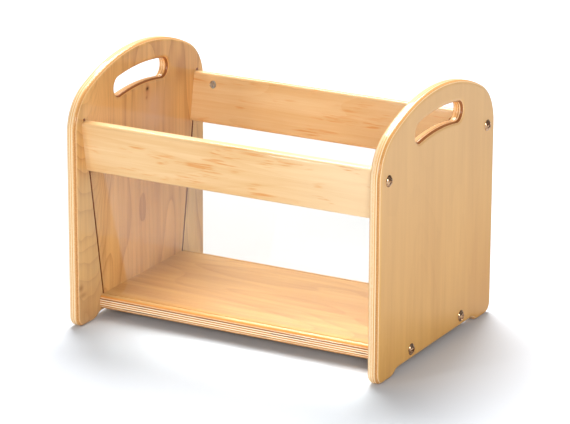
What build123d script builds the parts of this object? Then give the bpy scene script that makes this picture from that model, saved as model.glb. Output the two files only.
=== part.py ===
"""Table-top book cart: two plywood uprights with hand-holds, a plywood bottom board, two leaning maple rails
and two clear acrylic panels, held by machine screws in barrel nuts. Millimetres, +Z up, X along the width,
-Y to the front. The origin is on the floor, under the middle of the cart."""

import os
from math import atan, cos, degrees, radians, sin

from build123d import *

os.makedirs("parts", exist_ok=True)

# ---- driving dimensions -------------------------------------------------------------------------------
WIDTH = 419.0            # over the outer faces of the uprights
PANEL_T = 15.0           # upright plywood
DEPTH = 303.0            # front to back of an upright
HEIGHT = 322.0           # top of the arch
SHOULDER_R = 58.0        # round shoulder between straight side and arch
SHOULDER_Z = 242.0       # height of the shoulder arc's centre
EDGE_R = 5.3             # round-over on every panel edge, both faces
FOOT_CORNER_R = 14.0     # outer corner of a foot
CUTOUT_H = 6.6           # height of the cut-out between the feet
CUTOUT_FLAT = 96.0       # half-length of the cut-out's flat top
CUTOUT_FOOT = 117.0      # where the cut-out's curve meets the floor

SLOT_L, SLOT_H = 124.0, 23.2     # hand-hold, through opening, end to end and across
SLOT_Z = 282.8                   # height of its centre line at mid-depth
SLOT_R = 310.0                   # its centre line bends round with the arch

BOARD_T = 18.0           # bottom board plywood
BOARD_TOP = 29.0         # height of the board's upper face
BOARD_HALF = 103.5       # half the board's depth
BOARD_EDGE_R = 6.0       # rounding on its front and back edges

LEAN = 9.3               # rails and acrylic lean out from vertical, degrees
LEAN_FOOT = 94.8         # |y| of the leaning mid-plane at the board's upper face
RAIL_H, RAIL_T = 63.5, 14.0
RAIL_TOP_S = 230.0       # rail top edge, measured up the slope from the board's upper face
RAIL_R = 4.6             # rounding along the rail's long edges

ACRYLIC_T = 3.0
GROOVE_T = 3.3           # groove width, acrylic slides in with a little play
SIDE_GROOVE = 5.3        # groove depth in an upright
BOARD_GROOVE = 5.0       # groove depth in the board
RAIL_GROOVE = 7.0        # groove depth in a rail's underside
PLAY = 0.15              # gap left round the acrylic at the bottom of a groove

FIT = 0.05               # gap between butted wooden parts
SCREW_D, SCREW_L = 6.0, 50.8
SCREW_HOLE = 7.0
HEAD_D, HEAD_H = 14.1, 3.7
RECESS_W, RECESS_L, RECESS_DEPTH = 1.5, 7.4, 2.3
RAIL_SCREW_S = 14.0      # screw below the rail's top edge, along the slope
BOARD_SCREW_Y = 66.3
NUT_D, NUT_L = 10.0, 9.0
NUT_IN = 28.0            # nut axis from the end of the rail or board
NUT_SLOT_W, NUT_SLOT_DEPTH = 1.4, 1.5
SCREW_BORE_DEPTH = 40.0
PIN_D, PIN_L = 8.0, 30.0
PIN_BORE = 8.1
PIN_IN_PANEL = 10.0      # dowel depth in the upright
PIN_BOTTOM = 0.5         # air left at each end of a dowel
RAIL_PIN_S = 44.0        # dowel below the rail's top edge, along the slope
BOARD_PIN_Y = 25.0

# ---- worked out from them -----------------------------------------------------------------------------
FACE_X = WIDTH / 2                   # outer face of the right upright
INNER_X = FACE_X - PANEL_T           # its inner face
LENGTH = 2 * (INNER_X - FIT)         # rails and board
BOARD_MID = BOARD_TOP - BOARD_T / 2
END_SIDES = {"left": -1, "right": 1}
FACES = {"front": -1, "back": 1}


def lean_plane(face, along=0.0, x=0.0):
    """Plane square to X on the leaning mid-plane of the front or back, `along` mm up the slope from the
    board's upper face. Its local x points out of the cart, local y up the slope."""
    lean = radians(LEAN)
    out = (0, face * cos(lean), -sin(lean))
    up = (0, face * sin(lean), cos(lean))
    base = (x, face * (LEAN_FOOT + along * sin(lean)), BOARD_TOP + along * cos(lean))
    normal = Vector(*out).cross(Vector(*up))
    return Plane(origin=base, x_dir=out, z_dir=normal)


def lean_point(face, along):
    """(y, z) of a point on the leaning mid-plane."""
    origin = lean_plane(face, along).origin
    return origin.Y, origin.Z


def screw_seats():
    """Name, (y, z) and nut direction for the four screws of one upright."""
    for face_name, face in FACES.items():
        y, z = lean_point(face, RAIL_TOP_S - RAIL_SCREW_S)
        yield f"{face_name}_rail", (y, z), (0, -face * cos(radians(LEAN)), sin(radians(LEAN)))
    for face_name, face in FACES.items():
        yield f"{face_name}_board", (face * BOARD_SCREW_Y, BOARD_MID), (0, 0, -1)


def pin_seats():
    """Name and (y, z) for the four dowels of one upright."""
    for face_name, face in FACES.items():
        yield f"{face_name}_rail", lean_point(face, RAIL_TOP_S - RAIL_PIN_S)
    for face_name, face in FACES.items():
        yield f"{face_name}_board", (face * BOARD_PIN_Y, BOARD_MID)


# ---- uprights -----------------------------------------------------------------------------------------
# The outline is a flat arch on two round shoulders. Between the feet the bottom edge rises by a low
# S-curve of two equal arcs. All edges, the hand-hold's too, are rounded over on both faces.
shoulder_y = DEPTH / 2 - SHOULDER_R
rise = HEIGHT - SHOULDER_Z
ARCH_R = (shoulder_y**2 + rise**2 - SHOULDER_R**2) / (2 * (rise - SHOULDER_R))
arch_z = HEIGHT - ARCH_R
touch = SHOULDER_R / (ARCH_R - SHOULDER_R)       # the two arcs touch on the line through both centres
touch_point = (shoulder_y * (1 + touch), SHOULDER_Z + (SHOULDER_Z - arch_z) * touch)
s_run = CUTOUT_FOOT - CUTOUT_FLAT
S_CURVE_R = (s_run**2 + CUTOUT_H**2) / (4 * CUTOUT_H)
S_CURVE_TURN = 2 * degrees(atan(CUTOUT_H / s_run))
slot_half_turn = degrees((SLOT_L - SLOT_H) / 2 / SLOT_R)

for end_name, end in END_SIDES.items():
    face_plane = Plane.YZ.offset(INNER_X if end > 0 else -FACE_X)
    inner_plane = Plane.YZ.offset(end * INNER_X)
    with BuildPart() as side_panel:
        with BuildSketch(face_plane):
            with BuildLine():
                arch = ThreePointArc((-touch_point[0], touch_point[1]), (0, HEIGHT), touch_point)
                shoulder = TangentArc(touch_point, (DEPTH / 2, SHOULDER_Z), tangent=arch % 1)
                side = Line(shoulder @ 1, (DEPTH / 2, FOOT_CORNER_R))
                corner = JernArc(side @ 1, (0, -1), FOOT_CORNER_R, -90)
                sole = Line(corner @ 1, (CUTOUT_FOOT, 0))
                rise_out = JernArc(sole @ 1, (-1, 0), S_CURVE_R, -S_CURVE_TURN)
                rise_in = JernArc(rise_out @ 1, rise_out % 1, S_CURVE_R, S_CURVE_TURN)
                Line(rise_in @ 1, (0, CUTOUT_H))
                mirror(about=Plane.YZ)
            make_face()
            with BuildLine(mode=Mode.PRIVATE) as slot_line:
                CenterArc((0, SLOT_Z - SLOT_R), SLOT_R, 90 - slot_half_turn, 2 * slot_half_turn)
            SlotArc(slot_line.wire(), SLOT_H, mode=Mode.SUBTRACT)
        extrude(amount=PANEL_T)
        faces = side_panel.faces().filter_by(Axis.X).sort_by(Axis.X)
        fillet(faces[0].edges() + faces[-1].edges(), radius=EDGE_R)
        for face in FACES.values():
            low, high = -BOARD_GROOVE, RAIL_TOP_S - RAIL_H + RAIL_GROOVE
            with BuildSketch(lean_plane(face, (low + high) / 2, end * INNER_X)):
                Rectangle(GROOVE_T, high - low)
            extrude(amount=SIDE_GROOVE, dir=(end, 0, 0), mode=Mode.SUBTRACT)
        with BuildSketch(inner_plane):
            for _, seat, _ in screw_seats():
                with Locations(seat):
                    Circle(SCREW_HOLE / 2)
        extrude(amount=PANEL_T, dir=(end, 0, 0), mode=Mode.SUBTRACT)
        with BuildSketch(inner_plane):
            for _, seat in pin_seats():
                with Locations(seat):
                    Circle(PIN_BORE / 2)
        extrude(amount=PIN_IN_PANEL + PIN_BOTTOM, dir=(end, 0, 0), mode=Mode.SUBTRACT)
    side_panel.part.label = f"{end_name}_side_panel"
    export_step(side_panel.part, f"parts/{end_name}_side_panel.step")


# ---- bottom board -------------------------------------------------------------------------------------
# Plywood, between the uprights. Grooves in the top take the acrylic; nuts go in from the underside.
nut_x = LENGTH / 2 - NUT_IN

with BuildPart() as bottom_board:
    with BuildSketch(Plane.XY.offset(BOARD_TOP - BOARD_T)):
        Rectangle(LENGTH, 2 * BOARD_HALF)
    extrude(amount=BOARD_T)
    long_edges = bottom_board.edges().filter_by(Axis.X)
    fillet(long_edges, radius=BOARD_EDGE_R)
    for face in FACES.values():
        with BuildSketch(lean_plane(face, 0, -LENGTH / 2)):
            Rectangle(GROOVE_T, 2 * BOARD_GROOVE)
        extrude(amount=LENGTH, dir=(1, 0, 0), mode=Mode.SUBTRACT)
    for end in END_SIDES.values():
        with BuildSketch(Plane.YZ.offset(end * LENGTH / 2)):
            with Locations(*[(face * BOARD_SCREW_Y, BOARD_MID) for face in FACES.values()]):
                Circle(SCREW_HOLE / 2)
        extrude(amount=SCREW_BORE_DEPTH, dir=(-end, 0, 0), mode=Mode.SUBTRACT)
        with BuildSketch(Plane.YZ.offset(end * LENGTH / 2)):
            with Locations(*[(face * BOARD_PIN_Y, BOARD_MID) for face in FACES.values()]):
                Circle(PIN_BORE / 2)
        extrude(amount=PIN_L - PIN_IN_PANEL + PIN_BOTTOM, dir=(-end, 0, 0), mode=Mode.SUBTRACT)
    with BuildSketch(Plane.XY.offset(BOARD_TOP - BOARD_T)):
        with GridLocations(2 * nut_x, 2 * BOARD_SCREW_Y, 2, 2):
            Circle(NUT_D / 2 + FIT)
    extrude(amount=BOARD_T / 2 + NUT_L / 2 + PIN_BOTTOM, mode=Mode.SUBTRACT)
bottom_board.part.label = "bottom_board"
export_step(bottom_board.part, "parts/bottom_board.step")


# ---- rails --------------------------------------------------------------------------------------------
# Solid maple, leaning out, long edges rounded. A groove in the underside takes the acrylic's top edge.
rail_mid = RAIL_TOP_S - RAIL_H / 2

for face_name, face in FACES.items():
    with BuildPart() as rail:
        with BuildSketch(lean_plane(face, rail_mid, -LENGTH / 2)):
            Rectangle(RAIL_T, RAIL_H)
        extrude(amount=LENGTH, dir=(1, 0, 0))
        fillet(rail.edges().filter_by(Axis.X), radius=RAIL_R)
        with BuildSketch(lean_plane(face, RAIL_TOP_S - RAIL_H, -LENGTH / 2)):
            Rectangle(GROOVE_T, 2 * RAIL_GROOVE)
        extrude(amount=LENGTH, dir=(1, 0, 0), mode=Mode.SUBTRACT)
        for end in END_SIDES.values():
            end_plane = Plane.YZ.offset(end * LENGTH / 2)
            with BuildSketch(end_plane):
                with Locations(lean_point(face, RAIL_TOP_S - RAIL_SCREW_S)):
                    Circle(SCREW_HOLE / 2)
            extrude(amount=SCREW_BORE_DEPTH, dir=(-end, 0, 0), mode=Mode.SUBTRACT)
            with BuildSketch(end_plane):
                with Locations(lean_point(face, RAIL_TOP_S - RAIL_PIN_S)):
                    Circle(PIN_BORE / 2)
            extrude(amount=PIN_L - PIN_IN_PANEL + PIN_BOTTOM, dir=(-end, 0, 0), mode=Mode.SUBTRACT)
            seat = lean_plane(face, RAIL_TOP_S - RAIL_SCREW_S, end * nut_x)
            bore_plane = Plane(origin=seat.origin, x_dir=(1, 0, 0), z_dir=-seat.x_dir)
            with BuildSketch(bore_plane.offset(-NUT_L / 2 - PIN_BOTTOM)):
                Circle(NUT_D / 2 + FIT)
            extrude(amount=NUT_L / 2 + PIN_BOTTOM + RAIL_T, mode=Mode.SUBTRACT)
    rail.part.label = f"{face_name}_rail"
    export_step(rail.part, f"parts/{face_name}_rail.step")


# ---- acrylic panels -----------------------------------------------------------------------------------
# Flat clear sheets let into the uprights, the board and the rail above.
acrylic_low = -(BOARD_GROOVE - PLAY)
acrylic_high = RAIL_TOP_S - RAIL_H + RAIL_GROOVE - PLAY

for face_name, face in FACES.items():
    with BuildPart() as acrylic_panel:
        half = INNER_X + SIDE_GROOVE - PLAY
        with BuildSketch(lean_plane(face, (acrylic_low + acrylic_high) / 2, -half)):
            Rectangle(ACRYLIC_T, acrylic_high - acrylic_low)
        extrude(amount=2 * half, dir=(1, 0, 0))
    acrylic_panel.part.label = f"{face_name}_acrylic_panel"
    export_step(acrylic_panel.part, f"parts/{face_name}_acrylic_panel.step")


# ---- machine screws, barrel nuts and dowels -----------------------------------------------------------
# Each screw passes through an upright along the end grain into a barrel nut lying across it.
HEAD_BALL_R = (HEAD_D**2 / 4 + HEAD_H**2) / (2 * HEAD_H)

for end_name, end in END_SIDES.items():
    for seat_name, (y, z), nut_way in screw_seats():
        seat_plane = Plane(origin=(end * FACE_X, y, z), x_dir=(0, end, 0), z_dir=(end, 0, 0))
        profile_plane = Plane(origin=(end * FACE_X, y, z), x_dir=(0, 0, 1), z_dir=(0, end, 0))
        with BuildPart() as screw:
            with BuildSketch(seat_plane):
                Circle(SCREW_D / 2)
            extrude(amount=-SCREW_L)
            chamfer(screw.faces().sort_by(Axis.X)[0 if end > 0 else -1].edges(), length=0.8)
            with BuildSketch(profile_plane):
                with BuildLine():
                    foot = Line((0, 0), (HEAD_D / 2, 0))
                    dome = RadiusArc(foot @ 1, (0, HEAD_H), -HEAD_BALL_R)
                    Line(dome @ 1, (0, 0))
                make_face()
            revolve(axis=Axis((end * FACE_X, y, z), (end, 0, 0)))
            with BuildSketch(seat_plane.offset(HEAD_H)):
                Rectangle(RECESS_L, RECESS_W)
                Rectangle(RECESS_W, RECESS_L)
            extrude(amount=-RECESS_DEPTH, taper=18, mode=Mode.SUBTRACT)
        screw.part.label = f"{end_name}_{seat_name}_screw"
        export_step(screw.part, f"parts/{end_name}_{seat_name}_screw.step")

        nut_plane = Plane(origin=(end * nut_x, y, z), x_dir=(1, 0, 0), z_dir=nut_way)
        with BuildPart() as barrel_nut:
            with BuildSketch(nut_plane.offset(-NUT_L / 2)):
                Circle(NUT_D / 2)
            extrude(amount=NUT_L)
            with BuildSketch(nut_plane.offset(NUT_L / 2)):
                Rectangle(NUT_SLOT_W, NUT_D)
            extrude(amount=-NUT_SLOT_DEPTH, mode=Mode.SUBTRACT)
            with BuildSketch(Plane.YZ.offset(end * nut_x)):
                with Locations((y, z)):
                    Circle(SCREW_D / 2 + FIT)
            extrude(amount=NUT_D, both=True, mode=Mode.SUBTRACT)
        barrel_nut.part.label = f"{end_name}_{seat_name}_barrel_nut"
        export_step(barrel_nut.part, f"parts/{end_name}_{seat_name}_barrel_nut.step")

    for seat_name, (y, z) in pin_seats():
        with BuildPart() as dowel:
            with BuildSketch(Plane.YZ.offset(end * (INNER_X + PIN_IN_PANEL))):
                with Locations((y, z)):
                    Circle(PIN_D / 2)
            extrude(amount=PIN_L, dir=(-end, 0, 0))
            chamfer(dowel.edges().filter_by(GeomType.CIRCLE), length=0.8)
        dowel.part.label = f"{end_name}_{seat_name}_dowel"
        export_step(dowel.part, f"parts/{end_name}_{seat_name}_dowel.step")
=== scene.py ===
"""Table-top book cart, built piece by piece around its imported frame. Metres, +Z up, -Y to the front."""
from math import atan, atan2, cos, degrees, radians, sin, tau

import bmesh
import bpy
import numpy as np
from mathutils import Matrix, Vector
from mathutils.geometry import tessellate_polygon


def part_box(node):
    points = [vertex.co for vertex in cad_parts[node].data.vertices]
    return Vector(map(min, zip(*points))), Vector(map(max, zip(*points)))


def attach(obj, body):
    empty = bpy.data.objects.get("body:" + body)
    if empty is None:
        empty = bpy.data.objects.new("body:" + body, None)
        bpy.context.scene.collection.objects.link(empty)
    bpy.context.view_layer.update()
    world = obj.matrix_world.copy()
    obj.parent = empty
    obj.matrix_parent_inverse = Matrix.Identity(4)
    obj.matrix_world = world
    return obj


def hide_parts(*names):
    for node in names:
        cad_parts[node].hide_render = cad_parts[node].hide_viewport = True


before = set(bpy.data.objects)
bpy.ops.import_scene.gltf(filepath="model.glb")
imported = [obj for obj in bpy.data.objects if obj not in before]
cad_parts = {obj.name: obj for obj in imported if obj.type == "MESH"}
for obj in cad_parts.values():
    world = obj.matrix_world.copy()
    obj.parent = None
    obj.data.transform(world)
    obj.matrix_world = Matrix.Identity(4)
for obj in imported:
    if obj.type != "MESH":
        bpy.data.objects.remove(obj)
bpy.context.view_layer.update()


# ---- uprights -----------------------------------------------------------------------------------------
# Two boards of eleven-ply birch plywood with the face grain upright, sawn to a flat arch with a hand-hold,
# rounded over with a router on every edge and lacquered clear. Grooves inside take the acrylic sheets.

panel_low, panel_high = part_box("right_side_panel")
INNER_X, FACE_X = panel_low.x, panel_high.x
HALF_DEPTH, HEIGHT = panel_high.y, panel_high.z
SHOULDER_R, SHOULDER_Z = 0.058, 0.242
EDGE_R = 0.0053
FOOT_R = 0.014
GAP_H, GAP_FLAT, GAP_FOOT = 0.0066, 0.096, 0.117
SLOT_L, SLOT_H, SLOT_Z, SLOT_R = 0.124, 0.0232, 0.2828, 0.310
LEAN = radians(9.3)
LEAN_FOOT = 0.0948
GROOVE_T, SIDE_GROOVE = 0.0033, 0.0053
BOARD_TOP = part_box("bottom_board")[1].z
BOARD_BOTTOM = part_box("bottom_board")[0].z
BOARD_GROOVE, RAIL_GROOVE = 0.005, 0.007
RAIL_TOP, RAIL_H, RAIL_T = 0.230, 0.0635, 0.014
RAIL_SCREW = RAIL_TOP - 0.014
RAIL_PIN = RAIL_TOP - 0.044
BOARD_SCREW_Y, BOARD_PIN_Y = 0.0663, 0.025
SCREW_BORE, PIN_BORE, PIN_DEPTH = 0.0035, 0.00405, 0.0105


def arc(centre, radius, start, end, steps, hollow=False):
    """Points and outward normals of an arc: centre + radius * (cos a, sin a), start to end in degrees.
    On a hollow arc the wood lies outside the circle, so the normal points to the centre."""
    a = np.radians(np.linspace(start, end, steps + 1))
    radial = np.stack([np.cos(a), np.sin(a)], 1)
    return np.asarray(centre) + radius * radial, -radial if hollow else radial


def run(start, end, steps):
    """Points and outward normals of a straight run; the wood is on its right."""
    t = np.linspace(0, 1, steps + 1)[:, None]
    way = np.subtract(end, start)
    normal = np.array([-way[1], way[0]]) / np.hypot(*way)
    return np.asarray(start) + t * way, np.repeat(normal[None], steps + 1, 0)


def joined(pieces):
    """One closed loop from arcs and runs that meet end to end, each without its last point."""
    return np.concatenate([p[:-1] for p, _ in pieces]), np.concatenate([n[:-1] for _, n in pieces])


def upright_outline():
    """Half the outline, from the top of the arch clockwise to the middle of the foot gap, and its mirror."""
    y, z = HALF_DEPTH - SHOULDER_R, SHOULDER_Z
    rise = HEIGHT - z
    arch_r = (y * y + rise * rise - SHOULDER_R**2) / (2 * (rise - SHOULDER_R))
    arch_z = HEIGHT - arch_r
    touch = degrees(atan2(z - arch_z, y))
    s_run = GAP_FOOT - GAP_FLAT
    s_r = (s_run**2 + GAP_H**2) / (4 * GAP_H)
    s_turn = 2 * degrees(atan(GAP_H / s_run))
    half = [
        arc((0, arch_z), arch_r, 90, touch, 22),
        arc((y, z), SHOULDER_R, touch, 0, 22),
        run((HALF_DEPTH, z), (HALF_DEPTH, FOOT_R), 12),
        arc((HALF_DEPTH - FOOT_R, FOOT_R), FOOT_R, 0, -90, 14),
        run((HALF_DEPTH - FOOT_R, 0), (GAP_FOOT, 0), 3),
        arc((GAP_FOOT, s_r), s_r, -90, -90 - s_turn, 8),
        arc((GAP_FLAT, GAP_H - s_r), s_r, 90 - s_turn, 90, 8, hollow=True),
        run((GAP_FLAT, GAP_H), (0, GAP_H), 8),
    ]
    points, normals = joined(half)
    flip = np.array([-1, 1])
    end = half[-1]
    return (np.concatenate([points, end[0][-1:], points[:0:-1] * flip]),
            np.concatenate([normals, end[1][-1:], normals[:0:-1] * flip]))


def slot_outline():
    """The hand-hold: a band SLOT_H wide along an arc of radius SLOT_R, closed by two half circles."""
    centre = (0, SLOT_Z - SLOT_R)
    turn = (SLOT_L - SLOT_H) / 2 / SLOT_R
    ends = [(side * SLOT_R * sin(turn), centre[1] + SLOT_R * cos(turn)) for side in (1, -1)]
    a, r = degrees(turn), SLOT_H / 2
    return joined([
        arc(centre, SLOT_R + r, 90 - a, 90 + a, 24),
        arc(ends[1], r, 90 + a, 270 + a, 22),
        arc(centre, SLOT_R - r, 90 + a, 90 - a, 24, hollow=True),
        arc(ends[0], r, -90 - a, 90 - a, 22),
    ])


def circle(centre, radius, steps=28):
    """A closed ring of points."""
    return arc(centre, radius, 0, 360, steps)[0][:-1]


def leaning(face, out, up):
    """(y, z) at `out` from the leaning middle plane and `up` the slope from the board's top face."""
    return (face * (LEAN_FOOT + up * sin(LEAN) + out * cos(LEAN)),
            BOARD_TOP + up * cos(LEAN) - out * sin(LEAN))


class Shape:
    """Collects rings and grids of points, strips and flat fills, and turns them into one closed mesh."""

    def __init__(self):
        self.points, self.faces, self.count = [], [], 0

    def add(self, points):
        """Takes points in and returns their numbers."""
        points = np.asarray(points, float).reshape(-1, 3)
        self.points.append(points)
        self.count += len(points)
        return np.arange(self.count - len(points), self.count)

    def strip(self, rows, closed=True):
        """Quads between neighbouring rows of point numbers; a closed row joins its end to its start."""
        rows = np.asarray(rows)
        if closed:
            rows = np.concatenate([rows, rows[:, :1]], 1)
        quads = np.stack([rows[:-1, :-1], rows[:-1, 1:], rows[1:, 1:], rows[1:, :-1]], -1)
        self.faces += quads.reshape(-1, 4).tolist()

    def fill(self, *rings):
        """A flat face bounded by the first ring of point numbers, with the other rings as holes."""
        points = np.concatenate(self.points)
        numbers = np.concatenate(rings)
        made = tessellate_polygon([[Vector(points[i]) for i in ring] for ring in rings])
        self.faces += [[int(numbers[i]) for i in face] for face in made]

    def piece(self, name, material, slot, sharp=35):
        """The finished object, smooth except where faces meet at more than `sharp` degrees, in the place of
        the frame's node of the same name."""
        mesh = bpy.data.meshes.new(name)
        mesh.from_pydata(np.concatenate(self.points).tolist(), [], self.faces)
        work = bmesh.new()
        work.from_mesh(mesh)
        bmesh.ops.remove_doubles(work, verts=work.verts, dist=1e-7)
        bmesh.ops.recalc_face_normals(work, faces=work.faces)
        work.to_mesh(mesh)
        work.free()
        mesh.shade_smooth()
        mesh.set_sharp_from_angle(angle=radians(sharp))
        mesh.materials.append(material)
        obj = bpy.data.objects.new(name, mesh)
        bpy.context.scene.collection.objects.link(obj)
        even = obj.modifiers.new("even normals", "WEIGHTED_NORMAL")
        even.keep_sharp = True
        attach(obj, "root")
        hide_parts(name)
        return obj


def bored(shape, rim, way, deep):
    """A bore: the rim (3-D points) carried `deep` along `way`, with a flat bottom. Returns its mouth."""
    rings = [shape.add(rim + np.multiply(way, d)) for d in (0, deep)]
    shape.strip(rings)
    shape.fill(rings[1])
    return rings[0]


def upright(side):
    """Edge surface: outline point + normal * inset(s) at x(s), where s runs round one quarter circle,
    straight through the sheet and round the other. The two faces are flat fills with holes."""
    turn = np.radians(np.linspace(0, 90, 9))
    inset = EDGE_R * (1 - np.sin(turn))
    depth = EDGE_R * (1 - np.cos(turn))
    across = np.concatenate([INNER_X + depth, FACE_X - depth[::-1]])
    inset = np.concatenate([inset, inset[::-1]])
    shape = Shape()

    def put(x, ring):
        return shape.add(np.column_stack([np.full(len(ring), side * x), ring]))

    inner, outer = [], []
    for (ring, normal), way in ((upright_outline(), -1), (slot_outline(), 1)):
        rows = [put(x, ring + way * normal * d) for x, d in zip(across, inset)]
        shape.strip(rows)
        inner.append(rows[0])
        outer.append(rows[-1])
    for face in (-1, 1):
        for seat in (leaning(face, 0, RAIL_SCREW), (face * BOARD_SCREW_Y, (BOARD_TOP + BOARD_BOTTOM) / 2)):
            rows = [put(x, circle(seat, SCREW_BORE)) for x in (INNER_X, FACE_X)]
            shape.strip(rows)
            inner.append(rows[0])
            outer.append(rows[1])
        pockets = [
            (circle(leaning(face, 0, RAIL_PIN), PIN_BORE), PIN_DEPTH),
            (circle((face * BOARD_PIN_Y, (BOARD_TOP + BOARD_BOTTOM) / 2), PIN_BORE), PIN_DEPTH),
            (np.array([leaning(face, out * GROOVE_T / 2, up) for out, up in (
                (-1, -BOARD_GROOVE), (1, -BOARD_GROOVE),
                (1, RAIL_TOP - RAIL_H + RAIL_GROOVE), (-1, RAIL_TOP - RAIL_H + RAIL_GROOVE))]), SIDE_GROOVE),
        ]
        for ring, deep in pockets:
            rim = np.insert(ring, 0, side * INNER_X, axis=1)
            inner.append(bored(shape, rim, (side, 0, 0), deep))
    shape.fill(*inner)
    shape.fill(*outer)
    return shape


def wire(tree, kind, inputs=(), out=0, **settings):
    """Adds a node, sets its settings and inputs (values or other nodes' outputs) and returns one output."""
    node = tree.nodes.new(kind)
    for name, value in settings.items():
        setattr(node, name, value)
    for key, value in dict(inputs).items():
        if isinstance(value, bpy.types.NodeSocket):
            tree.links.new(value, node.inputs[key])
        else:
            node.inputs[key].default_value = value
    return node.outputs[out]


def calc(tree, operation, a, b=0.0, c=0.0):
    return wire(tree, "ShaderNodeMath", {0: a, 1: b, 2: c}, operation=operation)


def span(tree, value, low, high, to_low=0.0, to_high=1.0):
    """Value from low..high to to_low..to_high with soft ends."""
    return wire(tree, "ShaderNodeMapRange", {0: value, 1: low, 2: high, 3: to_low, 4: to_high},
                interpolation_type="SMOOTHSTEP")


def blend(tree, share, a, b, mode="MIX"):
    return wire(tree, "ShaderNodeMix", {0: share, 6: a, 7: b}, out=2, data_type="RGBA", blend_type=mode)


def noise(tree, vector, scale, detail=2.0, rough=0.5, distortion=0.0):
    return wire(tree, "ShaderNodeTexNoise", {"Vector": vector, "Scale": scale, "Detail": detail,
                "Roughness": rough, "Distortion": distortion}, out="Fac")


def stretched(tree, vector, factors, shift=(0, 0, 0)):
    """The vector times factors plus shift."""
    return wire(tree, "ShaderNodeVectorMath", {0: vector, 1: factors, 2: shift}, operation="MULTIPLY_ADD")


def group(name, inputs, outputs):
    """A shader node group with its named inputs (name, kind, default) and outputs (name, kind)."""
    tree = bpy.data.node_groups.new(name, "ShaderNodeTree")
    for label, kind, value in inputs:
        socket = tree.interface.new_socket(label, in_out="INPUT", socket_type="NodeSocket" + kind)
        socket.default_value = value
    for label, kind in outputs:
        tree.interface.new_socket(label, in_out="OUTPUT", socket_type="NodeSocket" + kind)
    return tree, tree.nodes.new("NodeGroupInput").outputs, tree.nodes.new("NodeGroupOutput").inputs


def use(tree, made, inputs):
    """Places a node group and returns all its outputs."""
    node = tree.nodes.new("ShaderNodeGroup")
    node.node_tree = made
    for key, value in inputs.items():
        if isinstance(value, bpy.types.NodeSocket):
            tree.links.new(value, node.inputs[key])
        else:
            node.inputs[key].default_value = value
    return node.outputs


# Sliced maple or birch: fine streaks along the grain, broader bands, cloudy tone and growth-ring contours.
# Grain holds metres: x across the grain, y through the wood, z along the grain. Field rises by one a ring.
VENEER, given, made = group("sliced wood", [
    ("Grain", "Vector", (0, 0, 0)), ("Field", "Float", 0.0), ("Pale", "Color", (0.8, 0.6, 0.4, 1)),
    ("Brown", "Color", (0.5, 0.3, 0.15, 1)), ("Streaks", "Float", 0.3), ("Bands", "Float", 0.3),
    ("Rings", "Float", 0.3)],
    [("Color", "Color"), ("Height", "Float")])
fine = noise(VENEER, stretched(VENEER, given["Grain"], (1, 1, 0.02)), 850, 3, 0.6)
streak = noise(VENEER, stretched(VENEER, given["Grain"], (1, 1, 0.035)), 150, 3, 0.6)
band = noise(VENEER, stretched(VENEER, given["Grain"], (1, 1, 0.12)), 38, 2, 0.5, 0.3)
tone = noise(VENEER, stretched(VENEER, given["Grain"], (1, 1, 0.5)), 13, 2)
ring = calc(VENEER, "POWER", calc(VENEER, "FRACT", given["Field"]), 3.5)
streaks = calc(VENEER, "MULTIPLY_ADD", span(VENEER, fine, 0.35, 0.7), 0.35,
               calc(VENEER, "MULTIPLY", span(VENEER, streak, 0.32, 0.7), 0.65))
bands = calc(VENEER, "MULTIPLY_ADD", span(VENEER, band, 0.3, 0.72), 0.6,
             calc(VENEER, "MULTIPLY", span(VENEER, tone, 0.3, 0.7), 0.4))
dark = calc(VENEER, "MULTIPLY", streaks, given["Streaks"])
dark = calc(VENEER, "MULTIPLY_ADD", bands, given["Bands"], dark)
dark = calc(VENEER, "MULTIPLY_ADD", ring, given["Rings"], dark)
dark = wire(VENEER, "ShaderNodeClamp", {0: dark})
VENEER.links.new(blend(VENEER, dark, given["Pale"], given["Brown"]), made["Color"])
VENEER.links.new(calc(VENEER, "SUBTRACT", 1.0, streaks), made["Height"])

# The plies of a sheet, counted from one face. Their joints wander a little along the sheet.
LAYERS, given, made = group("ply layers", [
    ("Through", "Float", 0.0), ("Thick", "Float", 0.015), ("Plies", "Float", 11.0),
    ("Place", "Vector", (0, 0, 0))],
    [("Layer", "Float"), ("Seam", "Float")])
wander = noise(LAYERS, given["Place"], 22, 2)
level = calc(LAYERS, "DIVIDE", calc(LAYERS, "MULTIPLY", given["Through"], given["Plies"]), given["Thick"])
level = calc(LAYERS, "MULTIPLY_ADD", calc(LAYERS, "SUBTRACT", wander, 0.5), 0.2, level)
within = calc(LAYERS, "FRACT", level)
seam = calc(LAYERS, "MINIMUM", within, calc(LAYERS, "SUBTRACT", 1.0, within))
middle = calc(LAYERS, "ADD", calc(LAYERS, "FLOOR", level), 0.5)
LAYERS.links.new(calc(LAYERS, "DIVIDE", middle, given["Plies"]), made["Layer"])
LAYERS.links.new(span(LAYERS, seam, 0.0, 0.16, 1.0, 0.0), made["Seam"])

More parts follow.
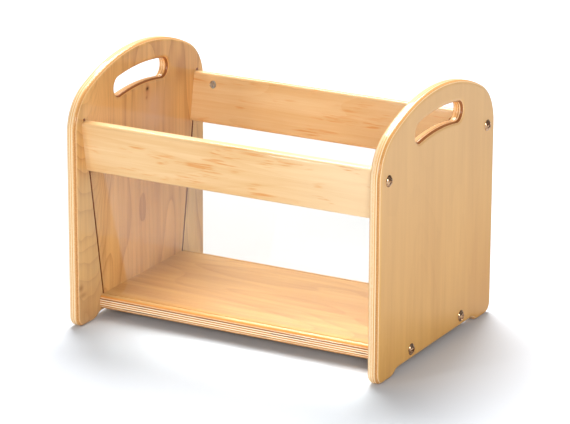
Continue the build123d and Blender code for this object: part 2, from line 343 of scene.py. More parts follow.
# A cut ply. Tone runs from 0, pale long grain, to 1, brown end grain. Where the cut turns up or down the
# plies are cut on the slant, and Even is how far they go there to the one tone Level. Scorch browns the cut,
# the darker plies most. Gaps is the strength of short brown flaws in the plies cut across their grain.
CUT, given, made = group("cut ply", [
    ("Tone", "Float", 0.0), ("Layer", "Float", 0.0), ("Seam", "Float", 0.0), ("Turned", "Float", 0.0),
    ("Place", "Vector", (0, 0, 0)), ("Even", "Float", 0.6), ("Level", "Float", 0.8), ("Gaps", "Float", 0.0),
    ("Scorch", "Float", 0.0),
    ("Pale", "Color", (0.9, 0.75, 0.5, 1)), ("Honey", "Color", (0.8, 0.45, 0.15, 1)),
    ("Brown", "Color", (0.35, 0.16, 0.06, 1))],
    [("Color", "Color")])
fibres = noise(CUT, given["Place"], 900, 2)
tone = calc(CUT, "MULTIPLY_ADD", calc(CUT, "SUBTRACT", fibres, 0.5), 0.5, given["Tone"])
tone = wire(CUT, "ShaderNodeMix", {0: calc(CUT, "MULTIPLY", given["Turned"], given["Even"]), 2: tone,
                                   3: given["Level"]})
tone = calc(CUT, "MULTIPLY_ADD", given["Seam"], 0.12, tone)
tone = calc(CUT, "MULTIPLY_ADD", calc(CUT, "MULTIPLY_ADD", tone, 1.1, 0.25), given["Scorch"], tone)
colour = blend(CUT, span(CUT, tone, 0.0, 0.6), given["Pale"], given["Honey"])
colour = blend(CUT, span(CUT, tone, 0.6, 1.3), colour, given["Brown"])
flaw = noise(CUT, stretched(CUT, given["Place"], (1, 0, 0),
                            wire(CUT, "ShaderNodeCombineXYZ", {1: given["Layer"]})), 10, 1)
flaw = calc(CUT, "MULTIPLY", span(CUT, flaw, 0.59, 0.62), span(CUT, given["Tone"], 0.3, 0.45))
flaw = calc(CUT, "MULTIPLY", calc(CUT, "MULTIPLY", flaw, given["Gaps"]),
            calc(CUT, "SUBTRACT", 1.0, given["Turned"]))
CUT.links.new(blend(CUT, flaw, colour, given["Brown"]), made["Color"])


def cut_edge(tree, through, thick, tones, place, turned, colours):
    """The sheet's plies as they show on its cut edges. Tones has one value a ply, from `through` = 0."""
    layers = use(tree, LAYERS, {"Through": through, "Thick": thick, "Plies": float(len(tones)),
                                "Place": place})
    ramp = tree.nodes.new("ShaderNodeValToRGB")
    ramp.color_ramp.interpolation = "CONSTANT"
    stops = ramp.color_ramp.elements
    for number, value in enumerate(tones):
        stop = stops[number] if number < 2 else stops.new(number / len(tones))
        stop.position = number / len(tones)
        stop.color = (value, value, value, 1)
    tree.links.new(layers["Layer"], ramp.inputs["Fac"])
    return use(tree, CUT, {"Tone": ramp.outputs["Color"], "Layer": layers["Layer"], "Seam": layers["Seam"],
                           "Turned": turned, "Place": place, **colours})["Color"]


def lacquered(name, roughness, coat, coat_roughness):
    """A new material whose Principled shader has a clear lacquer coat."""
    material = bpy.data.materials.new(name)
    material.use_nodes = True
    shader = material.node_tree.nodes["Principled BSDF"]
    shader.inputs["Roughness"].default_value = roughness
    shader.inputs["Specular IOR Level"].default_value = 0.1
    shader.inputs["Coat Weight"].default_value = coat
    shader.inputs["Coat Roughness"].default_value = coat_roughness
    shader.inputs["Coat IOR"].default_value = 1.5
    return material, material.node_tree, shader


def finish_wood(tree, shader, colour, height, depth=0.00006):
    """Joins a wood's colour and its faint grain relief to the shader."""
    tree.links.new(colour, shader.inputs["Base Color"])
    bump = wire(tree, "ShaderNodeBump", {"Height": height, "Distance": depth, "Strength": 0.5})
    tree.links.new(bump, shader.inputs["Normal"])


def srgb(red, green, blue):
    """A colour given as it looks on a screen, 0 to 255, as linear light."""
    c = np.array([red, green, blue]) / 255
    linear = np.where(c <= 0.04045, c / 12.92, ((c + 0.055) / 1.055) ** 2.4)
    return (*linear.tolist(), 1.0)


def hill(tree, place, centre, size):
    """exp(-(distance / size) squared) round a centre given in y and z."""
    spot = stretched(tree, place, (0, 1 / size[0], 1 / size[1]),
                     (0, -centre[0] / size[0], -centre[1] / size[1]))
    reach = wire(tree, "ShaderNodeVectorMath", {0: spot, 1: spot}, out="Value", operation="DOT_PRODUCT")
    return calc(tree, "EXPONENT", calc(tree, "MULTIPLY", reach, -1.0))


def axes(tree, vector):
    """The x, y and z outputs of a vector."""
    return wire(tree, "ShaderNodeSeparateXYZ", {0: vector}).node.outputs


def groove_painted_shade(tree, at, through, colour):
    """The colour with the walls and floor of the two leaning grooves painted dark brown, a painted shade for
    the
    dark hollow of each groove: near the leaning middle plane, under the rail's top, from the inner face to
    the groove's floor."""
    out = calc(tree, "SUBTRACT", calc(tree, "ABSOLUTE", at["Y"]), LEAN_FOOT)
    drop = calc(tree, "MULTIPLY", calc(tree, "SUBTRACT", at["Z"], BOARD_TOP), -sin(LEAN))
    out = calc(tree, "ABSOLUTE", calc(tree, "MULTIPLY_ADD", out, cos(LEAN), drop))
    inside = calc(tree, "MULTIPLY", calc(tree, "LESS_THAN", out, GROOVE_T / 2 + 0.0004),
                  calc(tree, "LESS_THAN", at["Z"], BOARD_TOP + RAIL_TOP))
    inside = calc(tree, "MULTIPLY", inside, calc(tree, "LESS_THAN", through, SIDE_GROOVE + 0.0005))
    inside = calc(tree, "MULTIPLY", inside, calc(tree, "GREATER_THAN", through, -0.0001))
    # Painted shade: the dark brown of the groove walls and floor.
    return blend(tree, inside, colour, srgb(128, 66, 38))


def upright_material(name, side, faces, figure, tones, marks):
    """Veneer on both faces and the plies on the rounded edges, read from the distance through the sheet.
    Each face has (pale, brown, streaks, bands, rings); figure(tree, place, grain) gives its growth rings,
    and marks(tree, place, colour) the knots, stains and painted light and shade of the inner face. The outer
    face is paler toward the arch, a painted sheen, and browner at the back foot, a painted shade, and the
    router scorched the hand-hold's edge a little."""
    material, tree, shader = lacquered(name, 0.42, 0.4, 0.08)
    coordinates = tree.nodes.new("ShaderNodeTexCoord").outputs
    place = coordinates["Object"]
    at, way = axes(tree, place), axes(tree, coordinates["Normal"])
    thick = FACE_X - INNER_X
    ply = thick / len(tones)
    through = calc(tree, "SUBTRACT", calc(tree, "MULTIPLY", at["X"], side), INNER_X)
    outside = calc(tree, "GREATER_THAN", through, thick / 2)
    grain = wire(tree, "ShaderNodeCombineXYZ", {
        0: at["Y"], 1: calc(tree, "MULTIPLY_ADD", outside, 0.37, side), 2: at["Z"]})
    field = figure(tree, place, grain)
    inner, outer = (use(tree, VENEER, {"Grain": grain, "Field": field, **dict(zip(
        ("Pale", "Brown", "Streaks", "Bands", "Rings"), face))}) for face in faces)
    # Painted light: a painted sheen that pales the outer face toward the arch.
    painted_sheen_share = calc(tree, "MULTIPLY", span(tree, at["Z"], 0.0, HEIGHT), 0.5)
    faded = blend(tree, painted_sheen_share, outer["Color"], srgb(230, 192, 146))
    # Painted shade: the outer face browned and darkened low at the back foot.
    foot = calc(tree, "MULTIPLY", hill(tree, place, (HALF_DEPTH, 0.02), (0.070, 0.100)), 0.6)
    faded = blend(tree, foot, faded, srgb(198, 140, 70))
    veneer = blend(tree, outside, marks(tree, place, inner["Color"]), faded)
    held = calc(tree, "MULTIPLY_ADD", calc(tree, "MULTIPLY", at["Y"], at["Y"]), 0.5 / SLOT_R, at["Z"])
    held = calc(tree, "ABSOLUTE", calc(tree, "SUBTRACT", held, SLOT_Z))
    held = calc(tree, "MULTIPLY", span(tree, held, SLOT_H, SLOT_H * 0.8, 0.0, 0.4),
                span(tree, calc(tree, "ABSOLUTE", at["Y"]), SLOT_L * 0.62, SLOT_L * 0.56))
    edge = cut_edge(tree, through, thick, tones, place, calc(tree, "ABSOLUTE", way["Z"]), {
        "Pale": srgb(252, 226, 184), "Honey": srgb(230, 170, 102), "Brown": srgb(150, 90, 46),
        "Even": 0.4, "Level": 0.5, "Scorch": held})
    middle = calc(tree, "ABSOLUTE", calc(tree, "SUBTRACT", through, thick / 2))
    faced = span(tree, middle, thick / 2 - ply * 0.7, thick / 2 - ply * 0.5)
    colour = groove_painted_shade(tree, at, through, blend(tree, faced, edge, veneer))
    finish_wood(tree, shader, colour, outer["Height"])
    return material


def straight_figure(tree, place, grain):
    """Rings of quarter-sliced wood: long upright lines that hardly bend."""
    return calc(tree, "MULTIPLY", noise(tree, stretched(tree, grain, (1, 1, 0.22)), 13, 1, 0.4), 9.0)


def flat_figure(tree, place, grain):
    """Rings of flat-sliced wood: low waves near the front edge that turn into nested cups, height less a
    parabola in y, and long upright lines further in."""
    at = axes(tree, place)
    bent = calc(tree, "ADD", at["Y"], 0.128)
    bent = calc(tree, "MULTIPLY", calc(tree, "MULTIPLY", bent, bent), -34.0)
    cups = calc(tree, "ADD", at["Z"], bent)
    waves = calc(tree, "MULTIPLY_ADD", noise(tree, place, 13, 2, 0.4), 0.11, cups)
    waves = calc(tree, "MULTIPLY", waves, 44.0)
    share = span(tree, at["Y"], -0.105, -0.06)
    return wire(tree, "ShaderNodeMix", {0: share, 2: waves, 3: straight_figure(tree, place, grain)})


def clear_wood(tree, place, colour):
    """A face without marks."""
    return colour


def knotty_wood_with_painted_light(tree, place, colour):
    """A pink heartwood cloud below the hand-hold, a front shoulder made paler as painted light, a brown bar
    by the back shoulder, greyer sapwood low at the front over a foot made browner as painted shade, a pin
    knot with its halo and a smaller one under it, and two small dark specks near the front foot. Each is
    (mask, strength, colour), torn by a soft noise."""
    drift = noise(tree, place, 40, 2)
    at = axes(tree, place)
    sap = calc(tree, "MULTIPLY", span(tree, at["Y"], -0.085, -0.115), span(tree, at["Z"], 0.215, 0.165))
    patches = [
        (hill(tree, place, (0.026, 0.232), (0.042, 0.032)), 0.8, srgb(212, 172, 138)),
        # Painted light: the front shoulder lightened where the front light falls on it.
        (hill(tree, place, (-0.115, 0.262), (0.035, 0.040)), 0.45, srgb(246, 200, 134)),
        (hill(tree, place, (0.092, 0.268), (0.011, 0.020)), 0.45, srgb(158, 98, 56)),
        (sap, 0.42, srgb(204, 172, 130)),
        # Painted shade: the front foot darkened and browned.
        (hill(tree, place, (-0.128, 0.012), (0.040, 0.040)), 0.45, srgb(176, 118, 62)),
        (hill(tree, place, (0.012, 0.258), (0.0055, 0.0085)), 0.4, srgb(170, 96, 62)),
        (hill(tree, place, (0.012, 0.261), (0.0032, 0.0024)), 1.1, srgb(70, 30, 20)),
        (hill(tree, place, (0.010, 0.250), (0.0022, 0.0018)), 0.6, srgb(150, 78, 46)),
        (hill(tree, place, (-0.146, 0.050), (0.0050, 0.0040)), 0.6, srgb(140, 88, 50)),
        (hill(tree, place, (-0.141, 0.040), (0.0070, 0.0030)), 0.5, srgb(140, 88, 50)),
    ]
    for mask, strength, tint in patches:
        ragged = calc(tree, "MULTIPLY", calc(tree, "MULTIPLY_ADD", drift, 0.8, 0.6), strength)
        share = wire(tree, "ShaderNodeClamp", {0: calc(tree, "MULTIPLY", mask, ragged)})
        colour = blend(tree, share, colour, tint)
    return colour


OUTER_FACE = (srgb(234, 180, 100), srgb(196, 134, 62), 0.22, 0.30, 0.08)
INNER_FACE = (srgb(236, 188, 121), srgb(160, 102, 54), 0.34, 0.26, 0.30)
right_wood = upright_material("right upright birch", 1, (INNER_FACE, OUTER_FACE), straight_figure,
                              (0.4, 0.35, 0.0, 0.15, 0.3, 0.1, 0.6, 0.0, 0.95, 0.85, 0.1), clear_wood)
left_wood = upright_material("left upright birch", -1, (INNER_FACE, OUTER_FACE), flat_figure,
                             (0.3, 0.95, 0.85, 0.3, 0.05, 0.45, 0.0, 0.4, 0.1, 0.15, 0.5), knotty_wood_with_painted_light)
upright(1).piece("right_side_panel", right_wood, "upright_plywood")
upright(-1).piece("left_side_panel", left_wood, "upright_plywood")


# ---- bottom board -------------------------------------------------------------------------------------
# Thirteen-ply birch plywood with the face grain along the cart, its front and back edges rounded over. Two
# leaning grooves on top hold the acrylic. It is held by screws through the uprights and nuts from below.
BAR_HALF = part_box("bottom_board")[1].x
BOARD_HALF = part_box("bottom_board")[1].y
BOARD_EDGE_R = 0.006
BOARD_MID = (BOARD_TOP + BOARD_BOTTOM) / 2
NUT_X = BAR_HALF - 0.028
NUT_BORE, NUT_BORE_PAST_MID = 0.00505, 0.005
SCREW_BORE_DEPTH = 0.040
PIN_BORE_DEPTH = 0.0205


def bar(chain, mouths, sockets):
    """A chain of (y, z) points carried along X from end to end. The flat side between its two ends is a fill
    with the nut bores (centre, way in, depth) in it. The ends of the bar are fills with the sockets
    ((y, z), radius, depth) in them. Bores that cross inside are not cut open into each other."""
    shape = Shape()
    rows = np.array([shape.add(np.column_stack([np.full(len(chain), x), chain]))
                     for x in np.linspace(-BAR_HALF, BAR_HALF, 13)])
    shape.strip(rows, closed=False)
    across = np.append(0, chain[-1] - chain[0]) / np.linalg.norm(chain[-1] - chain[0])
    round_hole = circle((0, 0), NUT_BORE)
    rim = round_hole[:, :1] * [1, 0, 0] + round_hole[:, 1:] * across
    nut_mouths = [bored(shape, rim + centre, way, deep) for centre, way, deep in mouths]
    shape.fill(np.concatenate([rows[:, 0], rows[::-1, -1]]), *nut_mouths)
    for side, row in ((-1, rows[0]), (1, rows[-1])):
        shape.fill(row, *(
            bored(shape, np.insert(circle(seat, radius), 0, side * BAR_HALF, axis=1), (-side, 0, 0), deep)
            for seat, radius, deep in sockets))
    return shape


def groove(face, outs):
    """The four corners of an acrylic groove in the board's top face, met in the order of `outs`."""
    rim = [(out, out * sin(LEAN) / cos(LEAN)) for out in outs]
    return np.array([leaning(face, *rim[0]), leaning(face, outs[0], -BOARD_GROOVE),
                     leaning(face, outs[1], -BOARD_GROOVE), leaning(face, *rim[1])])


def board_chain():
    """From the underside's back edge up round the back, over the top and its grooves, and down the front."""
    y, half = BOARD_HALF - BOARD_EDGE_R, GROOVE_T / 2
    low, high = BOARD_BOTTOM + BOARD_EDGE_R, BOARD_TOP - BOARD_EDGE_R
    return np.concatenate([
        arc((y, low), BOARD_EDGE_R, -90, 0, 10)[0], arc((y, high), BOARD_EDGE_R, 0, 90, 10)[0],
        groove(1, (half, -half)), groove(-1, (-half, half)),
        arc((-y, high), BOARD_EDGE_R, 90, 180, 10)[0], arc((-y, low), BOARD_EDGE_R, 180, 270, 10)[0]])


def board_material():
    """Veneer with the grain along X above and below, and the plies on the rounded front and back edges."""
    material, tree, shader = lacquered("board birch", 0.4, 0.4, 0.08)
    coordinates = tree.nodes.new("ShaderNodeTexCoord").outputs
    place = coordinates["Object"]
    at, way = axes(tree, place), axes(tree, coordinates["Normal"])
    thick = BOARD_TOP - BOARD_BOTTOM
    tones = (0.5, 0.5, 0.0, 0.75, 0.0, 0.7, 0.0, 0.75, 0.0, 1.2, 0.2, 0.5, 0.5)
    ply = thick / len(tones)
    through = calc(tree, "SUBTRACT", at["Z"], BOARD_BOTTOM)
    grain = wire(tree, "ShaderNodeCombineXYZ", {0: at["Y"], 1: at["Z"], 2: at["X"]})
    field = calc(tree, "MULTIPLY", noise(tree, stretched(tree, grain, (1, 1, 0.2)), 11, 1, 0.4), 10.0)
    face = use(tree, VENEER, {"Grain": grain, "Field": field, "Pale": srgb(216, 168, 106),
                              "Brown": srgb(160, 104, 58), "Streaks": 0.25, "Bands": 0.3, "Rings": 0.2})
    edge = cut_edge(tree, through, thick, tones, place, calc(tree, "ABSOLUTE", way["Z"]), {
        "Pale": srgb(254, 238, 206), "Honey": srgb(218, 144, 66), "Brown": srgb(134, 66, 26), "Gaps": 1.0,
        "Even": 1.0, "Level": 0.56})
    middle = calc(tree, "ABSOLUTE", calc(tree, "SUBTRACT", through, thick / 2))
    faced = span(tree, middle, thick / 2 - ply, thick / 2 - ply * 0.8)
    finish_wood(tree, shader, blend(tree, faced, edge, face["Color"]), face["Height"])
    return material


board_nuts = [((side * NUT_X, face * BOARD_SCREW_Y, BOARD_BOTTOM), (0, 0, 1),
               BOARD_MID - BOARD_BOTTOM + NUT_BORE_PAST_MID) for side in (-1, 1) for face in (-1, 1)]
board_sockets = [((face * y, BOARD_MID), radius, deep) for face in (-1, 1) for y, radius, deep in (
    (BOARD_SCREW_Y, SCREW_BORE, SCREW_BORE_DEPTH), (BOARD_PIN_Y, PIN_BORE, PIN_BORE_DEPTH))]
bar(board_chain(), board_nuts, board_sockets).piece("bottom_board", board_material(), "board_plywood")


# ---- rails --------------------------------------------------------------------------------------------
# Two boards of solid maple that lean out over the acrylic, long edges rounded over, with a groove below for
# the sheet's top edge. Barrel nuts go in from the trough side. The maple has orange flecks along its grain.
RAIL_R = 0.0046


def rail_chain(face):
    """From the foot of the inner face round the underside and its groove, up and over the top, laid out in
    (out, up) and leaned."""
    half, low = RAIL_T / 2, RAIL_TOP - RAIL_H
    near, slit = half - RAIL_R, GROOVE_T / 2
    section = np.concatenate([
        arc((-near, low + RAIL_R), RAIL_R, 180, 270, 10)[0],
        [(-slit, low), (-slit, low + RAIL_GROOVE), (slit, low + RAIL_GROOVE), (slit, low)],
        arc((near, low + RAIL_R), RAIL_R, 270, 360, 10)[0],
        arc((near, RAIL_TOP - RAIL_R), RAIL_R, 0, 90, 10)[0],
        arc((-near, RAIL_TOP - RAIL_R), RAIL_R, 90, 180, 10)[0]])
    return np.column_stack(leaning(face, section[:, 0], section[:, 1]))


def rail_material():
    """Maple with its grain along X, paler toward the right end, with flecks: stretched orange spots torn by
    fine streaks."""
    material, tree, shader = lacquered("rail maple", 0.38, 0.4, 0.08)
    at = axes(tree, tree.nodes.new("ShaderNodeTexCoord").outputs["Object"])
    grain = wire(tree, "ShaderNodeCombineXYZ", {0: at["Z"], 1: at["Y"], 2: at["X"]})
    field = calc(tree, "MULTIPLY", noise(tree, stretched(tree, grain, (1, 1, 0.15)), 14, 1, 0.4), 8.0)
    wood = use(tree, VENEER, {"Grain": grain, "Field": field, "Pale": srgb(244, 209, 158),
                              "Brown": srgb(220, 164, 98), "Streaks": 0.36, "Bands": 0.35, "Rings": 0.15})
    pale = blend(tree, span(tree, at["X"], 0.02, BAR_HALF, 0.0, 0.55), wood["Color"], srgb(254, 230, 190))
    spots = span(tree, noise(tree, stretched(tree, grain, (1, 1, 0.26)), 62, 2, 0.5, 0.6), 0.53, 0.68)
    torn = span(tree, noise(tree, stretched(tree, grain, (1, 1, 0.07)), 460, 2, 0.5, 0.3), 0.45, 0.66)
    fleck = calc(tree, "MULTIPLY", calc(tree, "MULTIPLY", spots, torn), 0.7)
    finish_wood(tree, shader, blend(tree, fleck, pale, srgb(222, 142, 62)), wood["Height"])
    return material


maple = rail_material()
for face_name, face in (("front", -1), ("back", 1)):
    y, z = leaning(face, -RAIL_T / 2, RAIL_SCREW)
    rail_nuts = [((side * NUT_X, y, z), (0, face * cos(LEAN), -sin(LEAN)), RAIL_T / 2 + NUT_BORE_PAST_MID)
                 for side in (-1, 1)]
    rail_sockets = [(leaning(face, 0, RAIL_SCREW), SCREW_BORE, SCREW_BORE_DEPTH),
                    (leaning(face, 0, RAIL_PIN), PIN_BORE, PIN_BORE_DEPTH)]
    bar(rail_chain(face), rail_nuts, rail_sockets).piece(f"{face_name}_rail", maple, "rail_maple")


# ---- acrylic panels -----------------------------------------------------------------------------------
# Clear cast acrylic, three millimetres thick, edges scraped. Each sheet stands in the board's groove, is let
# into both uprights, and is held down by the rail above it.
ACRYLIC_T, ACRYLIC_PLAY, ACRYLIC_EDGE = 0.003, 0.00015, 0.0002


def acrylic_sheet(face):
    """Rectangular section with cut corners, in (out, up), carried from groove to groove and drawn in at the
    two ends by the same cut."""
    shape = Shape()
    half, cut = ACRYLIC_T / 2, ACRYLIC_EDGE
    low, high = ACRYLIC_PLAY - BOARD_GROOVE, RAIL_TOP - RAIL_H + RAIL_GROOVE - ACRYLIC_PLAY
    end = INNER_X + SIDE_GROOVE - ACRYLIC_PLAY
    corners = np.array([(sx, sz, outer) for sx, sz, first in ((1, 0, 0), (1, 1, 1), (0, 1, 0), (0, 0, 1))
                        for outer in (first, 1 - first)])
    rows = []
    for x, less in ((-end, cut), (cut - end, 0), (end - cut, 0), (end, cut)):
        out = np.where(corners[:, 0] == 1, half - less, less - half)
        up = np.where(corners[:, 1] == 1, high - less, low + less)
        out = out - cut * (1 - corners[:, 2]) * np.sign(out)
        up = up - cut * corners[:, 2] * np.where(corners[:, 1] == 1, 1, -1)
        rows.append(shape.add(np.column_stack([np.full(8, x), *leaning(face, out, up)])))
    shape.strip(rows)
    shape.fill(rows[0])
    shape.fill(rows[-1])
    return shape


def acrylic_material():
    """Clear plastic that lets shadow rays through a little dimmed, with a breath of handling marks in its
    gloss."""
    material = bpy.data.materials.new("clear acrylic")
    material.use_nodes = True
    tree = material.node_tree
    shader = tree.nodes["Principled BSDF"]
    shader.inputs["Base Color"].default_value = (0.975, 0.98, 0.975, 1)
    shader.inputs["IOR"].default_value = 1.49
    shader.inputs["Transmission Weight"].default_value = 1.0
    place = tree.nodes.new("ShaderNodeTexCoord").outputs["Object"]
    smears = noise(tree, place, 18, 3)
    tree.links.new(span(tree, smears, 0.35, 0.75, 0.0, 0.02), shader.inputs["Roughness"])
    clear = wire(tree, "ShaderNodeBsdfTransparent", {"Color": (0.72, 0.73, 0.72, 1)})
    shadow = tree.nodes.new("ShaderNodeLightPath").outputs["Is Shadow Ray"]
    both = wire(tree, "ShaderNodeMixShader", {0: shadow, 1: shader.outputs[0], 2: clear})
    tree.links.new(both, tree.nodes["Material Output"].inputs["Surface"])
    return material


acrylic = acrylic_material()
for face_name, face in (("front", -1), ("back", 1)):
    acrylic_sheet(face).piece(f"{face_name}_acrylic_panel", acrylic, "clear_acrylic")


# ---- machine screws -----------------------------------------------------------------------------------
# Eight nickel-plated M6 screws with domed heads and a cross recess. They pass through the uprights, along
# the end grain of board and rails, into the barrel nuts; the heads stand on the outer faces.
HEAD_R, HEAD_H, HEAD_RIM = 0.00705, 0.0036, 0.0003
RECESS_HALF, RECESS_ARM, RECESS_DEEP, RECESS_WALL = 0.00075, 0.0037, 0.0021, 0.00012
SHANK_R, SHANK_L, THREAD_L, PITCH, THREAD_DEEP = 0.003, 0.0508, 0.030, 0.001, 0.00045
SHANK_TIP = 0.0008


def screw(side, seat, turned):
    """Head: a square grid u, v pressed into a disc, (u sqrt(1 - v²/2), v sqrt(1 - u²/2)), raised to a ball
    cap, less four arms whose bottom slopes up to their tips. Rim and shank: rings at distance r and depth d,
    where the thread takes off a triangle wave of d / pitch - angle."""
    wall = np.array([RECESS_HALF - RECESS_WALL, RECESS_HALF,
                     RECESS_ARM - 3 * RECESS_WALL, RECESS_ARM]) / HEAD_R
    line = np.unique(np.concatenate([[0], wall, np.linspace(0.2, 0.4, 3), np.linspace(0.62, 1, 6)]))
    line = np.concatenate([-line[:0:-1], line])
    u, v = np.meshgrid(line, line, indexing="ij")
    a, b = u * np.sqrt(1 - v * v / 2) * HEAD_R, v * np.sqrt(1 - u * u / 2) * HEAD_R
    ball = (HEAD_R**2 + (HEAD_H - HEAD_RIM) ** 2) / (2 * (HEAD_H - HEAD_RIM))
    rise = HEAD_RIM + np.sqrt(ball**2 - a * a - b * b) - (ball - HEAD_H + HEAD_RIM)
    narrow, reach = np.minimum(abs(u), abs(v)) * HEAD_R, np.maximum(abs(u), abs(v)) * HEAD_R
    inside = np.clip((RECESS_HALF - narrow) / RECESS_WALL, 0, 1) * (reach < RECESS_ARM)
    slope = np.clip((RECESS_ARM - reach) / (RECESS_ARM - 2 * RECESS_HALF), 0.25, 1)
    rise = rise - inside * slope * RECESS_DEEP

    shape = Shape()
    c, s = cos(turned), sin(turned)

    def put(a, b, h):
        across, up = np.ravel(c * a - s * b), np.ravel(s * a + c * b)
        return shape.add(np.column_stack([side * (FACE_X + np.ravel(h) + 0 * across), seat[0] + across,
                                          seat[1] + up]))

    grid = put(a, b, rise).reshape(u.shape)
    shape.strip(grid, closed=False)
    edge = np.concatenate([grid[:-1, 0], grid[-1, :-1], grid[:0:-1, -1], grid[0, :0:-1]])
    angle = np.concatenate([np.arctan2(b, a)[:-1, 0], np.arctan2(b, a)[-1, :-1],
                            np.arctan2(b, a)[:0:-1, -1], np.arctan2(b, a)[0, :0:-1]])
    rows = [edge]
    thread = SHANK_L - np.arange(THREAD_L, 0, -PITCH / 4)
    stops = [(HEAD_R, 0), (SHANK_R, 0), (SHANK_R, -SHANK_L + THREAD_L + PITCH)]
    stops += [(SHANK_R, -d) for d in thread[4:-3]] + [(SHANK_R - SHANK_TIP, -SHANK_L)]
    for radius, h in stops:
        r = np.full(len(angle), radius)
        if -SHANK_L + SHANK_TIP < h < -SHANK_L + THREAD_L:
            phase = np.mod(-h / PITCH - angle / tau, 1)
            r = r - THREAD_DEEP * abs(2 * phase - 1)
        rows.append(put(r * np.cos(angle), r * np.sin(angle), h))
    shape.strip(rows)
    shape.fill(rows[-1])
    return shape


def plated(name, colour, roughness, oxide_and_painted_reflection, shade):
    """Bare metal whose tone and gloss wander a little, duller and darker in patches: oxide on the nuts, a
    painted reflection of the wood on the screws.
    """
    material = bpy.data.materials.new(name)
    material.use_nodes = True
    tree = material.node_tree
    shader = tree.nodes["Principled BSDF"]
    shader.inputs["Metallic"].default_value = 1.0
    place = tree.nodes.new("ShaderNodeTexCoord").outputs["Object"]
    patch_mask = span(tree, noise(tree, place, 420, 3, 0.6), 0.35, 0.75)
    tree.links.new(blend(tree, calc(tree, "MULTIPLY", patch_mask, oxide_and_painted_reflection), colour, shade),
                   shader.inputs["Base Color"])
    tree.links.new(span(tree, patch_mask, 0, 1, roughness, roughness + 0.14), shader.inputs["Roughness"])
    scratches = noise(tree, stretched(tree, place, (1, 1, 0.2)), 3000, 2)
    bump = wire(tree, "ShaderNodeBump", {"Height": scratches, "Distance": 0.00001, "Strength": 0.3})
    tree.links.new(bump, shader.inputs["Normal"])
    return material


# The screws' warm tint and their brown patches are painted reflection of the wood round the heads.
nickel = plated("screw nickel", srgb(216, 182, 148), 0.10, 0.9, srgb(112, 58, 28))
for end_name, side in (("left", -1), ("right", 1)):
    seats = [(f"{name}_rail", leaning(face, 0, RAIL_SCREW)) for name, face in (("front", -1), ("back", 1))]
    seats += [(f"{name}_board", (face * BOARD_SCREW_Y, BOARD_MID))
              for name, face in (("front", -1), ("back", 1))]
    for number, (seat_name, seat) in enumerate(seats):
        turned = 0.35 + 1.1 * number + 0.6 * side
        screw(side, seat, turned).piece(f"{end_name}_{seat_name}_screw", nickel, "screw_nickel", 28)


# ---- barrel nuts --------------------------------------------------------------------------------------
# Zinc-plated steel, turned and cross-drilled, pushed into bores in the underside of the board and the trough
# side of the rails. A saw cut across the end lines each nut up with its screw.
zinc = plated("barrel nut zinc", srgb(190, 194, 196), 0.3, 0.5, srgb(128, 132, 130))
for name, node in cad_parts.items():
    if name.endswith("barrel_nut"):
        node.data.materials.clear()
        node.data.materials.append(zinc)


# ---- dowels -------------------------------------------------------------------------------------------
# Fluted beech pins, glued into the uprights and into the ends of board and rails, where nothing shows them.
def dowel_material():
    """Dry beech with its grain along X and short dark rays."""
    material = bpy.data.materials.new("dowel beech")
    material.use_nodes = True
    tree = material.node_tree
    shader = tree.nodes["Principled BSDF"]
    shader.inputs["Roughness"].default_value = 0.7
    at = axes(tree, tree.nodes.new("ShaderNodeTexCoord").outputs["Object"])
    grain = wire(tree, "ShaderNodeCombineXYZ", {0: at["Z"], 1: at["Y"], 2: at["X"]})
    wood = use(tree, VENEER, {"Grain": grain, "Pale": srgb(226, 190, 150), "Brown": srgb(176, 128, 92),
                              "Streaks": 0.5, "Bands": 0.3, "Rings": 0.0})
    finish_wood(tree, shader, wood["Color"], wood["Height"])
    return material


beech = dowel_material()
for name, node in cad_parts.items():
    if name.endswith("dowel"):
        node.data.materials.clear()
        node.data.materials.append(beech)


# ---- studio -------------------------------------------------------------------------------------------
# A pale floor under a white tent. A large soft lamp hangs high at the back left, a broad window lights the
# front from the right, and two tall strips, front left and right, draw the gleams on the rounded edges.
VIEW_AZIMUTH, VIEW_ELEVATION, VIEW_ROLL = radians(28.762), radians(17.774), radians(0.183)
VIEW_TARGET, VIEW_DISTANCE = Vector((0.0047, 0.0, 0.1372)), 3.761
LENS_MM = 197.5


def area_lamp(name, spot, target, size, power):
    data = bpy.data.lights.new(name, "AREA")
    data.shape, data.size, data.size_y, data.energy = "RECTANGLE", *size, power
    lamp = bpy.data.objects.new(name, data)
    bpy.context.scene.collection.objects.link(lamp)
    lamp.location = spot
    lamp.rotation_euler = (Vector(spot) - Vector(target)).to_track_quat("Z", "Y").to_euler()


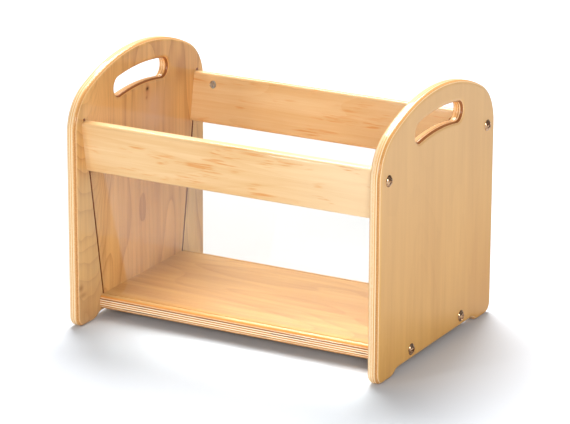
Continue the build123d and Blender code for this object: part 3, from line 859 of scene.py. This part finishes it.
def plane(name, half, z, material):
    mesh = bpy.data.meshes.new(name)
    corners = [(-half, -half, z), (half, -half, z), (half, half, z), (-half, half, z)]
    mesh.from_pydata(corners, [], [(0, 1, 2, 3)])
    mesh.materials.append(material)
    obj = bpy.data.objects.new(name, mesh)
    bpy.context.scene.collection.objects.link(obj)


back = Vector((sin(VIEW_AZIMUTH) * cos(VIEW_ELEVATION), -cos(VIEW_AZIMUTH) * cos(VIEW_ELEVATION),
               sin(VIEW_ELEVATION)))
camera_data = bpy.data.cameras.new("camera")
camera_data.sensor_width, camera_data.lens = 36, LENS_MM
camera = bpy.data.objects.new("camera", camera_data)
bpy.context.scene.collection.objects.link(camera)
turn = back.to_track_quat("Z", "Y").to_matrix().to_4x4() @ Matrix.Rotation(VIEW_ROLL, 4, "Z")
camera.matrix_world = Matrix.Translation(VIEW_TARGET + back * VIEW_DISTANCE) @ turn
bpy.context.scene.camera = camera

sweep = bpy.data.materials.new("white sweep")
sweep.use_nodes = True
sweep.node_tree.nodes["Principled BSDF"].inputs["Roughness"].default_value = 0.9
seen = sweep.node_tree.nodes.new("ShaderNodeLightPath").outputs["Is Camera Ray"]
paper = blend(sweep.node_tree, seen, (0.55, 0.55, 0.55, 1), (0.64, 0.667, 0.705, 1))
sweep.node_tree.links.new(paper, sweep.node_tree.nodes["Principled BSDF"].inputs["Base Color"])
plane("floor", 12.0, -0.0002, sweep)

world = bpy.data.worlds.new("white tent")
world.use_nodes = True
world.node_tree.nodes["Background"].inputs["Color"].default_value = (1, 1, 1, 1)
world.node_tree.nodes["Background"].inputs["Strength"].default_value = 0.24
bpy.context.scene.world = world
area_lamp("high back lamp", (-1.15, 2.0, 3.7), (0, 0, 0.1), (2.4, 2.4), 350)
area_lamp("front left strip", (-0.9, -2.0, 0.75), (0, 0, 0.15), (0.05, 0.8), 8)
area_lamp("front window", (1.3, -2.3, 1.0), (0, 0, 0.15), (1.2, 0.7), 32)
area_lamp("right strip", (2.2, -0.6, 0.8), (0, 0, 0.15), (0.16, 0.9), 9)
bpy.context.scene.view_settings.view_transform = "Standard"
